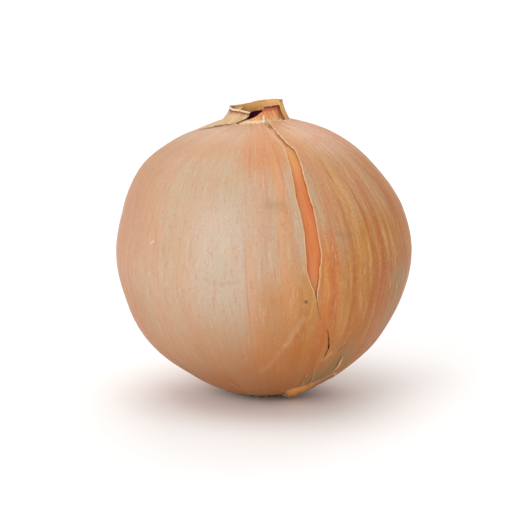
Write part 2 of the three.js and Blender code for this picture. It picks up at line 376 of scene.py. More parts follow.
# Long fibres and bands that run from base to neck and meet at both ends
def makeLongGrain():
    into, out = newGroup(
        "longGrain", {"Vector": None, "Fineness": 60.0, "Stretch": 0.02, "Shift": 0.0}, ["Fibres", "Bands"])
    x, y, z = parts(into["Vector"])
    outward = parts(vectorMaths("NORMALIZE", combine(x, y)))
    sway = times(grainNoise(into["Vector"], 0.09, 2.0), 0.06)       # the fibres wander a little
    height = maths("ADD", times(z, into["Stretch"]), into["Shift"])
    swayed = [maths("ADD", outward[k], sway) for k in (0, 1)]
    spread = combine(*swayed, height)
    put(grainNoise(spread, into["Fineness"], 4.0, 0.65), out["Fibres"])
    put(grainNoise(spread, times(into["Fineness"], 0.16), 3.0, 0.6), out["Bands"])
    return bench["tree"]


# Soft uneven patches
def makeBlotches():
    into, out = newGroup("blotches", {"Vector": None, "Size": 6.0, "Low": 0.5, "High": 0.7}, ["Mask"])
    cloud = grainNoise(into["Vector"], maths("DIVIDE", 1.0, into["Size"]), 5.0, 0.6)
    put(ramp(cloud, into["Low"], into["High"]), out["Mask"])
    return bench["tree"]


# A soft line drawn between two points of the bulb
def makePenStroke():
    into, out = newGroup(
        "penStroke", {"Vector": None, "Start": None, "End": None, "Width": 1.0, "Rough": 0.3}, ["Mask"])
    wobble = grainNoise(into["Vector"], 0.45, 2.0, 0.5, "Color")
    shaken = vectorMaths("SUBTRACT", wobble, (0.5, 0.5, 0.5))
    point = vectorMaths("ADD", into["Vector"], vectorMaths("SCALE", shaken, into["Rough"]))
    run = vectorMaths("SUBTRACT", into["End"], into["Start"])
    away = vectorMaths("SUBTRACT", point, into["Start"])
    share = maths("DIVIDE", vectorMaths("DOT_PRODUCT", away, run),
                  vectorMaths("DOT_PRODUCT", run, run), clamp=True)
    off = vectorMaths("SUBTRACT", away, vectorMaths("SCALE", run, share))
    put(ramp(vectorMaths("LENGTH", off), 0.0, into["Width"], 1.0, 0.0), out["Mask"])
    return bench["tree"]


# A band of longitude with soft sides, between two heights
def makeLongitude():
    into, out = newGroup("longitude", {
        "Vector": None, "Azimuth": 0.0, "Half": 5.0, "Low": -30.0, "High": 30.0, "Soft": 8.0}, ["Mask"])
    x, y, z = parts(into["Vector"])
    angle = times(maths("ARCTAN2", x, times(y, -1.0)), 180 / math.pi)
    off = maths("ADD", maths("SUBTRACT", angle, into["Azimuth"]), 180.0)
    off = maths("SUBTRACT", maths("FLOORED_MODULO", off, 360.0), 180.0)
    off = maths("ABSOLUTE", off)
    side = ramp(off, times(into["Half"], 0.35), into["Half"], 1.0, 0.0)
    low = ramp(z, maths("SUBTRACT", into["Low"], into["Soft"]), into["Low"])
    high = ramp(z, into["High"], maths("ADD", into["High"], into["Soft"]), 1.0, 0.0)
    put(times(side, times(low, high)), out["Mask"])
    return bench["tree"]


longGrain = makeLongGrain()
blotches = makeBlotches()
penStroke = makePenStroke()
longitude = makeLongitude()


def blotch(point, size, low, high):
    return useGroup(blotches, Vector=point, Size=size, Low=low, High=high)["Mask"]


def drawLine(tint, point, paint, ends, lift, width, rough, strength):
    # from and to an azimuth and a share of the outline
    start, end = [tuple(skinPoint(np.radians(azimuth), share, lift)) for azimuth, share in ends]
    line = useGroup(penStroke, Vector=point, Start=start, End=end, Width=width, Rough=rough)
    return wash(tint, paint, times(line["Mask"], strength))


def shaderInputs():
    return bench["tree"].nodes["Principled BSDF"].inputs


def newMaterial(name, roughness, specular=0.5):
    # the material, and the surface point in the bulb's space in millimetres
    material = bpy.data.materials.new(name)
    material.use_nodes = True
    bench["tree"] = material.node_tree
    shaderInputs()["Roughness"].default_value = roughness
    shaderInputs()["Specular IOR Level"].default_value = specular
    lean, lifted = bulbForm["lean"], bulbForm["centreHeight"] * mm
    where = node("ShaderNodeTexCoord").outputs["Object"]
    turn = node("ShaderNodeMapping", vector_type="TEXTURE")
    fill(turn, where, (-lifted * math.tan(lean), 0, lifted), (0, -lean, 0), (mm, mm, mm))
    return material, turn.outputs[0]


def finishLook(material, tint, relief, distance, strength):
    # its colour, and its fine relief with the height in millimetres
    made = node("ShaderNodeBump")
    put(relief, made.inputs["Height"])
    made.inputs["Distance"].default_value = distance * mm
    made.inputs["Strength"].default_value = strength
    put(tint, shaderInputs()["Base Color"])
    put(made.outputs[0], shaderInputs()["Normal"])
    return material


# Outer skin: tan paper on the left, orange brown with streaks on the right, darker and browner towards the
# base, partly its own tone and partly painted shade, with painted highlight and painted shade in places

skinColours = {
    "tan": (184, 162, 134),
    # the grey below is the colour of a painted highlight
    "highlightGrey": (194, 178, 164),
    "rosy": (196, 148, 118),
    "peach": (212, 146, 94),
    "apricot": (196, 132, 82),
    "orange": (200, 112, 48),
    "ochre": (186, 120, 34),
    "rust": (176, 88, 28),
    "straw": (212, 164, 92),
    "umberAndShade": (166, 94, 14),
    "olive": (138, 118, 72),
    "pale": (220, 198, 170),
    "dark": (92, 56, 34),
    "edge": (224, 184, 136),
    "white": (232, 220, 208),
}

skinBands = [   # colour, azimuth, half width in degrees, low, high, softness in mm, strength
    ("ochre", 118, 66, -40, 30, 14, 0.45),
    ("ochre", 66, 54, -40, 32, 10, 0.88),
    ("ochre", 8, 19, -40, -4, 10, 0.5),
    ("ochre", 84, 30, -40, 30, 10, 0.5),
    # the grey band below is a painted highlight: a paler, greyer patch where the key light's sheen falls on
    # the front left
    ("highlightGrey", -17, 19, -3, 15, 10, 0.36),
    ("apricot", -4, 90, 33, 40, 5, 0.4),
    ("apricot", 10, 30, 30, 40, 6, 0.85),
    ("peach", 46, 26, 20, 32, 8, 0.4),
    ("rosy", 62, 30, 32, 40, 5, 0.6),
    ("rosy", -56, 13, 6, 29, 8, 0.5),
    ("rosy", -84, 30, -24, 24, 12, 0.8),
    # the two umber bands below, over the far left and far right flanks, are painted shade where the bulb
    # turns away from the light
    ("umberAndShade", -84, 40, -34, 30, 10, 0.3),
    ("umberAndShade", 88, 40, -34, 32, 8, 0.42),
    # darker low on the right: partly the skin's own tone, partly painted shade
    ("umberAndShade", 46, 30, -28, -8, 8, 0.5),
    ("tan", 29, 8, 2, 26, 8, 0.25),
    ("tan", 50, 26, 17, 30, 7, 0.4),
    ("ochre", 44, 24, 8, 33, 8, 0.16),
    ("ochre", 27, 26, -18, 2, 8, 0.62),
    # darker low on the right: partly the skin's own tone, partly painted shade
    ("umberAndShade", 60, 28, -28, 0, 7, 0.6),
    ("orange", 25, 6.5, -16, 8, 8, 0.75),
    ("orange", 34, 9, 18, 30, 8, 0.2),
    ("rust", 51.5, 3.4, -6, 20, 8, 0.9),
    ("rust", 56.5, 1.5, -18, 20, 8, 0.7),
    ("rust", 46, 1.3, -8, 22, 8, 0.5),
    ("rust", 62, 2.2, -24, 14, 8, 0.65),
    ("rust", 70, 2.0, -16, 20, 8, 0.55),
    ("rust", 36, 1.6, -14, 16, 8, 0.45),
    ("rust", 22, 4.0, -34, -16, 6, 0.4),
    ("rust", 12, 1.5, -32, -14, 6, 0.45),
    ("straw", 49, 1.0, -22, 18, 6, 0.4),
    ("straw", 60, 1.3, -20, 20, 6, 0.35),
    ("straw", 40, 2.4, -6, 26, 8, 0.4),
    ("straw", 32, 3.4, -22, -8, 4, 0.4),
    ("rust", -6.4, 0.45, -14, 6, 6, 0.34),
    ("peach", -4.6, 1.9, -24, 8, 8, 0.35),
    ("peach", 9, 4.0, -4, 26, 10, 0.45),
    ("orange", 3, 1.0, 24, 36, 6, 0.35),
    ("orange", 12, 1.4, 12, 34, 8, 0.3),
    # the olive patch low on the right, above the flap, is partly the skin's own greyish tone, partly painted
    # shade
    ("olive", 39, 11, -31, -19, 5, 0.75),
    # the olive band below is a painted reflection: a cool greyish glint low on the right flank
    ("olive", 66, 11, -15, -4, 6, 0.6),
    ("orange", -32, 14, -33, -27, 4, 0.5),
    ("orange", 14, 60, -34, -20, 10, 0.26),
    ("umberAndShade", -66, 22, -26, -6, 8, 0.2),
    ("ochre", -118, 34, -32, 28, 12, 0.7),
    ("rust", -104, 2.6, -20, 12, 16, 0.4),
    ("rust", -126, 1.8, -26, 24, 8, 0.45),
    ("rust", 138, 2.6, -24, 14, 16, 0.35),
    ("rosy", 172, 16, -14, 26, 10, 0.5),
    ("rust", -156, 2.0, -24, 14, 16, 0.35),
]

skinStrokes = [   # colour, from and to (azimuth, share of the outline), width in mm, roughness, strength
    # the two pale strokes below are painted highlight along the raised fold
    ("pale", (14.5, 0.39), (8.3, 0.315), 1.3, 0.9, 0.14),
    ("pale", (8.3, 0.315), (-3.1, 0.215), 1.2, 0.9, 0.1),
    # the two umber strokes below are painted shade in the sunken crease
    ("umberAndShade", (-9.4, 0.498), (-15.5, 0.489), 1.0, 1.0, 0.18),
    ("umberAndShade", (-15.5, 0.489), (-23.6, 0.505), 1.1, 1.2, 0.1),
    ("dark", (15.2, 0.436), (15.4, 0.434), 0.75, 0.1, 0.8),
    ("rust", (-10, 0.28), (-10.4, 0.282), 0.8, 0.3, 0.7),
    ("pale", (-49.5, 0.578), (-47.5, 0.584), 0.5, 0.3, 0.8),
    ("olive", (5, 0.682), (10, 0.676), 2.4, 2.6, 0.28),
    ("dark", (35.8, 0.27), (39.2, 0.281), 0.45, 0.3, 0.6),
    ("olive", (32, 0.59), (36, 0.58), 2.0, 2.2, 0.28),
    ("peach", (28.4, 0.243), (31.6, 0.263), 1.3, 0.4, 0.6),
    # the two olive strokes below widen that patch low on the right: partly the skin's own tone, partly
    # painted shade
    ("olive", (34, 0.16), (43, 0.225), 6.5, 2.5, 0.62),
    ("olive", (28, 0.12), (40, 0.14), 3.5, 2.0, 0.45),
    ("orange", (54, 0.865), (58, 0.875), 2.4, 1.4, 0.5),
    ("orange", (-28, 0.105), (-18, 0.115), 1.2, 0.8, 0.8),
    ("olive", (-158, 0.42), (-150, 0.44), 1.8, 1.2, 0.5),
]


def edgeOfSheet(point):
    # 1 within a hair of the split above the crack and of both hems, read from the sheet's own layout
    u, v, _ = parts(node("ShaderNodeTexCoord").outputs["UV"])
    radius = vectorMaths("LENGTH", vectorMaths("MULTIPLY", point, (1, 1, 0)))
    side = maths("MINIMUM", u, maths("SUBTRACT", 1.0, u))
    side = ramp(times(side, times(radius, 2 * math.pi)), 0.1, 0.4, 0.75, 0.0)
    side = times(side, ramp(v, 0.36, 0.42))
    hem = times(maths("MINIMUM", v, maths("SUBTRACT", 1.0, v)), outlineLength)
    hem = ramp(hem, 0.3, maths("ADD", 0.7, ramp(v, 0.3, 0.0)), 1.0, 0.0)
    return maths("MAXIMUM", side, hem)


def makeSkinPaper():
    material, point = newMaterial("skinPaper", 0.42, 0.34)
    c = skinColours
    fine = useGroup(longGrain, Vector=point, Fineness=62.0, Stretch=0.0024)
    broad = useGroup(longGrain, Vector=point, Fineness=24.0, Stretch=0.0022, Shift=3.7)
    tint = wash(c["tan"], c["rosy"], ramp(broad["Bands"], 0.42, 0.68, 0.0, 0.5))
    tint = wash(tint, c["rosy"], times(blotch(point, 9.0, 0.46, 0.66), 0.3))
    for name, azimuth, half, low, high, soft, strength in skinBands:
        band = useGroup(longitude, Vector=point, Azimuth=azimuth, Half=half,
                        Low=low, High=high, Soft=soft)
        broken = ramp(fine["Bands"], 0.34, 0.6, 0.35, 1.15) if half < 6 else 1.0
        share = maths("MULTIPLY", band["Mask"], times(broken, strength), clamp=True)
        tint = wash(tint, c[name], share)
    warm = useGroup(longitude, Vector=point, Azimuth=62, Half=70, Low=-40, High=32, Soft=6)["Mask"]
    lively = maths("ADD", times(warm, 0.42), 0.1)
    speckled = maths("ADD", times(warm, 0.3), 0.3)
    tint = wash(tint, c["rust"], times(ramp(broad["Fibres"], 0.5, 0.7), lively))
    tint = wash(tint, c["straw"], times(ramp(broad["Fibres"], 0.47, 0.3), lively))
    tint = washes(tint, (c["rust"], fine["Fibres"], 0.54, 0.76, 0.42),
                  (c["pale"], fine["Fibres"], 0.45, 0.26, 0.38))
    for name, size, low, high, strength in (
            ("peach", 1.3, 0.5, 0.7, 0.28), ("rust", 0.5, 0.5, 0.72, speckled),
            ("white", 0.4, 0.5, 0.74, 0.09), ("umberAndShade", 0.7, 0.64, 0.76, speckled)):
        tint = wash(tint, c[name], times(blotch(point, size, low, high), strength))
    # darker and browner towards the base: partly the skin's own tone, partly painted shade under the bulb
    tint = washes(tint, (c["umberAndShade"], parts(point)[2], 4.0, -34.0, 0.7))
    for name, start, end, width, rough, strength in skinStrokes:
        tint = drawLine(tint, point, c[name], (start, end), 0.2, width, rough, strength)
    torn = times(edgeOfSheet(point), ramp(fine["Bands"], 0.3, 0.6, 0.4, 0.9))
    tint = wash(tint, c["edge"], torn)
    put(ramp(fine["Bands"], 0.3, 0.7, 0.38, 0.52), shaderInputs()["Roughness"])
    pores = grainNoise(point, 1.8, 4.0)
    relief = maths("ADD", times(fine["Fibres"], 0.7), times(pores, 0.5))
    return finishLook(material, tint, relief, 0.16, 0.6)


# Torn edges and the inside of the dry skin: pale, bare paper
def makePaperEdge():
    material, point = newMaterial("paperEdge", 0.6, 0.35)
    fibres = useGroup(longGrain, Vector=point, Fineness=70.0, Stretch=0.004, Shift=6.0)["Fibres"]
    tint = wash((232, 200, 158), (214, 166, 118), blotch(point, 1.6, 0.45, 0.65))
    tint = washes(tint, ((190, 132, 84), fibres, 0.52, 0.74, 0.5))
    return finishLook(material, tint, fibres, 0.12, 0.5)


# The orange skin underneath, which shows in the split, with painted shadow lines beside the split's edge and
# in the crack, and the top of the bulb in the neck painted near black as painted shade in the hollow
splitEdgeLines = [   # colour, width in mm, and a run of (azimuth, share of the outline) beside the split's edge
    # the first line is a painted shadow along the split's left edge, the second an orange line along its
    # right edge, the third painted shade inside the crack below
    ((112, 62, 38), 0.5, [(20.8, 0.975), (20.2, 0.94), (21.1, 0.9), (22.3, 0.86)]),
    ((190, 92, 40), 0.45, [(26.2, 0.975), (23.8, 0.94), (24.2, 0.9), (25.9, 0.86)]),
    ((92, 54, 30), 1.1, [(24.5, 0.36), (27.8, 0.31), (29.6, 0.28), (29.0, 0.235)]),
]


def makeInnerSkin():
    material, point = newMaterial("innerSkin", 0.38)
    grain = useGroup(longGrain, Vector=point, Fineness=70.0, Stretch=0.003, Shift=8.0)
    fibres, height = grain["Fibres"], parts(point)[2]
    tint = wash((200, 104, 54), (210, 126, 68), ramp(grain["Bands"], 0.35, 0.65))
    tint = washes(
        tint, ((186, 86, 44), fibres, 0.56, 0.76, 0.5), ((226, 160, 104), fibres, 0.42, 0.26, 0.4),
        ((198, 128, 70), height, 6.0, -5.0, 0.75), ((216, 148, 80), height, 22.0, 29.0, 0.8),
        ((216, 168, 118), height, 29.5, 33.0, 0.9))
    # painted shadow along the split's left edge and painted shade in the crack
    for paint, width, run in splitEdgeLines:
        for ends in zip(run, run[1:]):
            tint = drawLine(tint, point, paint, ends, -0.45, width, 0.2, 0.7)
    # the top of the bulb inside the neck is painted near black: painted shade in the hollow between the
    # sheaths, with its sheen taken away too
    tint = washes(tint, ((48, 12, 24), height, 36.4, 37.2, 1.0),
                  ((176, 120, 72), height, -28.0, -33.0, 1.0))
    put(ramp(height, 35.4, 36.4, 0.5, 0.0), shaderInputs()["Specular IOR Level"])
    return finishLook(material, tint, fibres, 0.1, 0.5)


# Dry sheaths of the neck: one recipe with its own colours, laid out from foot to cut edge
sheathLooks = {
    # in each look, the line colour is painted shade in a narrow strip just under the lip
    "sheathPale": {
        "hem": (196, 160, 124), "foot": (200, 174, 136), "base": (206, 172, 128),
        "band": (156, 84, 62), "lip": (232, 206, 168),
        "streak": (178, 122, 84), "light": (228, 208, 166), "line": (104, 46, 38),
        "bandFrom": 0.74, "lipFrom": 0.915, "ledge": 0.0, "glow": 0.15,
    },
    # this look's near black lip is a painted shadow along the top of the front wall, where it tucks behind
    # the back sheath
    "sheathRed": {
        "hem": (224, 178, 120), "foot": (224, 178, 120), "base": (216, 142, 88),
        "band": (172, 84, 60), "lip": (84, 20, 26),
        "streak": (172, 92, 56), "light": (236, 178, 116), "line": (132, 52, 42),
        "bandFrom": 0.68, "lipFrom": 0.93, "ledge": 0.9, "glow": 0.15,
    },
    "sheathYellow": {
        "hem": (200, 140, 84), "foot": (210, 156, 96), "base": (220, 178, 112),
        "band": (210, 162, 98), "lip": (150, 104, 66),
        "streak": (186, 126, 70), "light": (238, 210, 154), "line": (176, 124, 74),
        "bandFrom": 0.7, "lipFrom": 0.95, "ledge": 0.0, "glow": 0.15,
    },
    "sheathInside": {
        "hem": (120, 56, 38), "foot": (160, 84, 56), "base": (255, 170, 106),
        "band": (255, 190, 130), "lip": (196, 144, 92),
        "streak": (228, 150, 92), "light": (255, 220, 164), "line": (240, 182, 122),
        "bandFrom": 0.5, "lipFrom": 0.955, "ledge": 0.0, "glow": 0.8,
    },
}


def makeSheath(name):
    look = sheathLooks[name]
    bandFrom, lipFrom = look["bandFrom"], look["lipFrom"]
    material, point = newMaterial(name, 0.6, 0.35)
    shader = shaderInputs()
    shader["Subsurface Weight"].default_value = look["glow"]      # light gets through
    shader["Subsurface Radius"].default_value = (0.9, 0.9, 0.9)
    shader["Subsurface Scale"].default_value = mm
    u, v, _ = parts(node("ShaderNodeTexCoord").outputs["UV"])
    fibres = useGroup(longGrain, Vector=point, Fineness=17.0, Stretch=0.012, Shift=2.0)["Fibres"]
    waver = maths("SUBTRACT", fibres, 0.5)
    rise = maths("ADD", v, times(waver, 0.3))
    rim = maths("ADD", v, times(waver, 0.12))
    tint = washes(
        look["hem"], (look["foot"], rise, 0.1, 0.4, 1.0), (look["base"], rise, 0.3, 0.6, 1.0),
        (look["streak"], fibres, 0.5, 0.68, 0.75), (look["light"], fibres, 0.46, 0.3, 0.7),
        (look["band"], rise, bandFrom, bandFrom + 0.16, 0.85))
    left = ramp(u, 0.36, 0.44, look["ledge"], 0.0)
    ledge = times(left, ramp(rim, 0.32, 0.4, 1.0, 0.0))
    tint = wash(tint, (228, 206, 168), ledge)
    # the line colour darkens a narrow strip just under the cut edge: painted shade under the lip
    tint = washes(tint, (look["line"], rim, lipFrom - 0.07, lipFrom - 0.01, 0.7),
                  (look["lip"], rim, lipFrom, lipFrom + 0.025, 0.95))
    tint = wash(tint, look["streak"], times(blotch(point, 0.8, 0.6, 0.7), 0.4))
    return finishLook(material, tint, fibres, 0.2, 0.6)


# Yellow-orange paper of the flap
def makeFlapPaper():
    material, point = newMaterial("flapPaper", 0.48)
    fibres = useGroup(longGrain, Vector=point, Fineness=30.0, Stretch=0.006, Shift=5.0)["Fibres"]
    tint = wash((236, 164, 76), (190, 112, 48), blotch(point, 3.4, 0.44, 0.62))
    tint = washes(tint, ((246, 204, 132), fibres, 0.46, 0.28, 0.7),
                  ((150, 84, 40), fibres, 0.54, 0.72, 0.6))
    right = useGroup(longitude, Vector=point, Azimuth=62, Half=40, Low=-40, High=-20, Soft=4)["Mask"]
    tint = wash(tint, (160, 92, 38), times(right, 0.9))
    return finishLook(material, tint, fibres, 0.16, 0.6)


# Thin whitish membrane of the scraps
def makeMembrane():
    material, point = newMaterial("paleMembrane", 0.5, 0.4)
    tint = wash((230, 214, 192), (206, 168, 126), blotch(point, 0.9, 0.4, 0.7))
    tint = washes(tint, ((206, 160, 112), parts(point)[2], 0.0, -10.0, 1.0))
    return finishLook(material, tint, grainNoise(point, 2.6), 0.1, 0.5)


# Corky brown of the root plate, and the paler dry roots
def makeCork(name, light, dark):
    material, point = newMaterial(name, 0.85, 0.25)
    fine = grainNoise(point, 4.0, 5.0)
    tint = wash(light, dark, blotch(point, 1.1, 0.38, 0.66))
    tint = washes(tint, ((88, 60, 38), fine, 0.55, 0.75, 0.7))
    return finishLook(material, tint, fine, 0.3, 0.8)


skinPaper = makeSkinPaper()
paperEdge = makePaperEdge()
innerSkin = makeInnerSkin()
sheathPale = makeSheath("sheathPale")
sheathYellow = makeSheath("sheathYellow")
sheathRed = makeSheath("sheathRed")
sheathInside = makeSheath("sheathInside")
flapPaper = makeFlapPaper()
paleMembrane = makeMembrane()
corkPlate = makeCork("corkPlate", (176, 138, 96), (132, 98, 64))
dryRoot = makeCork("dryRoot", (206, 176, 132), (160, 124, 84))
print("materials made")

# Outer skin: one sheet wrapped round the bulb from the right side of the split to its left side
outerSkin = {
    "columns": 380, "rows": 120, "thickness": 0.28,
    "leftEdge": [    # share of the outline and azimuth in degrees
        (0.0, 25), (0.1, 26), (0.2, 28), (0.24, 28.4), (0.28, 29), (0.31, 27.4), (0.34, 26), (0.38, 22.2),
        (0.41, 20.3), (0.46, 18.5), (0.49, 16.8), (0.52, 16), (0.6, 16.6), (0.7, 17.9), (0.75, 19.8),
        (0.8, 21.4), (0.84, 22), (0.87, 21.1), (0.93, 18.8), (1.0, 18.6),
    ],
    "width": [       # share of the outline and width of the split in mm
        (0.0, 0.1), (0.21, 0.06), (0.24, 0.4), (0.28, 0.55), (0.31, 0.5), (0.34, 0.25), (0.37, 0.08),
        (0.44, 0.1), (0.46, 0.9), (0.49, 2.6), (0.53, 3.8), (0.56, 4.0), (0.6, 3.7), (0.7, 3.5),
        (0.75, 3.2), (0.8, 2.8), (0.84, 2.5), (0.87, 1.8), (0.92, 1.5), (1.0, 1.6),
    ],
    "splitEnd": 0.087,                                       # share at which the split meets the hem
    "veins": 84, "veinSeed": 11, "pleats": 0.12, "swells": 0.28, "dents": 0.1,
    "edgeCurl": 0.22, "tear": 0.12, "neckTear": 0.0016,
    "hemClimb": 0.45, "climbAt": 60, "climbHalf": 50,        # the right side creeps up the neck
    "folds": [       # from and to (azimuth, share of the outline), half width and height in mm
        ((14, 0.372), (8.3, 0.315), 1.1, 0.11),
        ((8.3, 0.315), (-3.1, 0.215), 1.1, 0.12),
        ((-9.4, 0.498), (-15.5, 0.489), 1.2, -0.08),
        ((-15.5, 0.489), (-23.6, 0.505), 1.3, -0.07),
    ],
}


def foldRelief(azimuth, along):
    relief = np.zeros_like(azimuth)
    radius, _ = outlineAt(along, 0)
    for (fromAzimuth, fromShare), (toAzimuth, toShare), half, tall in outerSkin["folds"]:
        run = np.array([math.radians(toAzimuth - fromAzimuth) * 30, (toShare - fromShare) * outlineLength])
        off = np.stack([((azimuth - math.radians(fromAzimuth) + math.pi) % (2 * math.pi) - math.pi) * radius,
                        (along - fromShare) * outlineLength], -1)
        share = np.clip(off @ run / (run @ run), 0, 1)
        distance = np.hypot(*(off - share[:, None] * run).T)
        relief += tall * bump(distance, 0, half)
    return relief


def skinRelief(azimuth, along, points):
    # raised veins, pleats at the neck and the base, and shallow dents
    draw = np.random.default_rng(outerSkin["veinSeed"])
    relief = np.zeros_like(azimuth)
    full = 2 * math.pi
    for k in range(outerSkin["veins"]):
        middle = full * (k + draw.uniform(-0.35, 0.35)) / outerSkin["veins"]
        half = math.radians(draw.uniform(0.5, 1.1))
        tall = draw.uniform(0.02, 0.11)
        sway = math.radians(draw.uniform(0.2, 1.1))
        sway = sway * np.sin(along * draw.uniform(3, 8) + draw.uniform(0, full))
        off = (azimuth - middle - sway + math.pi) % full - math.pi
        relief += tall * np.exp(-(off / half) ** 2) * softStep(0.02, 0.2, along) * softStep(1.0, 0.85, along)
    pleats = np.sin(31 * azimuth + 2 * np.sin(3 * azimuth)) + 0.6 * np.sin(47 * azimuth + 1.3)
    ends = softStep(0.9, 0.99, along) + 0.7 * softStep(0.1, 0.02, along)
    relief += outerSkin["pleats"] * pleats * ends
    return relief + outerSkin["swells"] * roughen(points, 19, 1) + outerSkin["dents"] * roughen(points, 7, 2)


def makeOuterSkin():
    o = outerSkin
    sheet = flatSheet("outerSkin", o["columns"], o["rows"])

    def shape(u, v):
        share = mix(o["splitEnd"], 1, v)
        left = np.radians(readTable(o["leftEdge"], share))
        radius, _ = outlineAt(share, 0)
        right = left + readTable(o["width"], share) / radius
        left = left + wander(9 * v, o["tear"], 1.0) / radius
        right = right + wander(9 * v, o["tear"], 4.0) / radius
        azimuth = mix(right, left + 2 * math.pi, u)
        along = mix(baseHem(azimuth), neckHem(azimuth) + wander(azimuth, o["neckTear"], 2.0), v)
        points = skinPoint(azimuth, along, 0)
        lift = skinRelief(azimuth, along, points)
        girth = (2 * math.pi - (right - left)) * radius
        curl = np.exp(-u * girth / 0.7) * 0.7 + np.exp(-(1 - u) * girth / 1.0)
        lift = lift + o["edgeCurl"] * curl * softStep(0.3, 0.55, v) + foldRelief(azimuth, along)
        climb = o["hemClimb"] * bump(np.degrees(azimuth), o["climbAt"], o["climbHalf"])
        return skinPoint(azimuth, along, lift + climb * softStep(0.965, 1.0, along))

    finishLayer(sheet, shape, skinPaper, paperEdge, o["thickness"], "outer_skin")


# Bulb: a ball shaped to the outline, hollowed under the roots and drawn up into the neck
bulbBody = {
    "segments": 220, "rings": 150, "inset": 0.45,
    "base": [(0.0, -33.2), (7.4, -33.25)],
    "top": [(6.8, 35.1), (5.6, 36.0), (5.2, 37.0), (4.7, 37.9), (3.4, 38.3), (1.6, 38.4), (0.0, 38.3)],
    "flankEnd": 0.96,
    "noseFrom": 34.8, "noseTo": 36.6, "noseDepth": 0.56, "noseShift": 0.85,
    "tipFrom": 37.0, "tipTo": 38.2,
    "noseSlope": 0.12, "noseBumps": 0.3,                     # the dried tips are higher on the right
}


def makeBulb():
    b = bulbBody
    ball = startPiece("bulbBody", bpy.ops.mesh.primitive_uv_sphere_add, segments=b["segments"],
                      ring_count=b["rings"], radius=1)
    flank = np.stack(outlineAt(np.linspace(0, b["flankEnd"], 24), -b["inset"]), -1)
    profile = smoothCurve([*b["base"], *map(tuple, flank), *b["top"]])
    steps = lengthsAlong(profile)
    x, y, z = readPoints(ball).T
    share = 1 - np.arccos(np.clip(z, -1, 1)) / math.pi
    radius = np.interp(share * steps[-1], steps, profile[:, 0])
    height = np.interp(share * steps[-1], steps, profile[:, 1])
    radius = np.where(np.hypot(x, y) < 1e-6, 0, radius)
    points = place(np.arctan2(x, -y), radius, height)
    inNeck = softStep(b["noseFrom"], b["noseTo"], height)
    points[:, 0] += inNeck * b["noseShift"]
    points[:, 1] *= mix(1, b["noseDepth"], inNeck)
    points[:, 2] += softStep(b["tipFrom"], b["tipTo"], height) * (
        b["noseSlope"] * points[:, 0] + b["noseBumps"] * roughen(points, 1.3, 9))
    writePoints(ball, toFrame(points))
    coat(ball, innerSkin)
    finishPiece(ball, "bulb")


# Neck sheaths
neckSheaths = {
    "columns": 150, "rows": 44, "thickness": 0.26, "tuck": -0.2,
    "outer": 0.3, "middle": 1.1, "creases": 0.2,    # insets from the neck's outline
}


def crumple(points, amount, rise, seed):
    # creases that grow towards the cut
    x, y, _ = points.T
    angle = np.arctan2(x - neckForm["centre"], -y)
    ribs = 0.5 * np.sin(17 * angle + seed) + 0.3 * np.sin(29 * angle + 2 * seed)
    push = amount * rise * roughen(points, 3.0, seed) + 0.05 * ribs
    out = np.stack([np.sin(angle), -np.cos(angle), np.zeros_like(angle)], -1)
    return points + out * push[:, None]


def rimTear(angle, size, seed):
    # the cut edge: nearly straight, with a few nicks
    nicks = np.clip(np.sin(13 * angle + 2 * seed) * np.sin(29 * angle + seed) - 0.45, 0, 1)
    return size * (0.6 * np.sin(3 * angle + seed) + 0.25 * np.sin(8 * angle + 1.7 * seed) - 1.6 * nicks)


def makeStandingSheath(name, edges, insetAt, rimAt, ragged, seed, outside, node):
    # a sheath between two edges, each an azimuth in degrees for a rise up the neck
    s = neckSheaths
    sheet = flatSheet(name, s["columns"], s["rows"])

    def shape(u, v):
        rise = mix(s["tuck"], 1, v)
        degrees = mix(edges[0](rise), edges[1](rise), u)
        azimuth = np.radians(degrees)
        lift = rimAt(degrees) + rimTear(azimuth, ragged, seed)
        points = neckPoint(azimuth, rise, insetAt(degrees, np.clip(rise, 0, 1)), lift)
        return crumple(points, s["creases"], softStep(0.1, 1.0, rise), seed)

    finishLayer(sheet, shape, outside, sheathInside, s["thickness"], node)


# Reddish brown front of the neck: it starts under the left sheath and ends inside the back one
rightSheath = {
    "leftEdge": [                     # rise up the neck, azimuth
        (0, -60), (0.2, -32), (0.31, -19), (0.5, -3), (0.75, 10), (0.9, 15), (1, 17)],
    "rightEdge": 98, "rimInset": 0.75, "underLeft": 0.8,
    "rim": [(17, -0.3), (45, -0.2), (62, -0.6), (98, -1.0)],      # azimuth, height over the cut
    "ragged": 0.24, "seed": 3.0,
}


def makeRightSheath():
    s, r = neckSheaths, rightSheath

    def insetAt(degrees, v):
        front = mix(r["underLeft"], s["outer"], softStep(-30, -14, degrees))
        return mix(mix(front, r["rimInset"], v), s["middle"], softStep(45, 68, degrees))

    makeStandingSheath(
        "neckRight", (lambda v: readTable(r["leftEdge"], v), lambda v: r["rightEdge"]), insetAt,
        lambda degrees: readTable(r["rim"], degrees), r["ragged"], r["seed"], sheathRed, "neck_sheath_right")


# Yellowish back of the neck: it wraps the right corner and ends inside the left sheath
backSheath = {"rightEdge": 70, "leftEdge": (283, 318), "rim": 0.6, "ragged": 0.16, "seed": 5.0}


def makeBackSheath():
    s, b = neckSheaths, backSheath
    makeStandingSheath(
        "neckBack", (lambda v: b["rightEdge"], lambda v: mix(*b["leftEdge"], v)),
        lambda degrees, v: mix(s["outer"], s["middle"], softStep(175, 205, degrees)),
        lambda degrees: b["rim"], b["ragged"], b["seed"], sheathYellow, "neck_sheath_back")


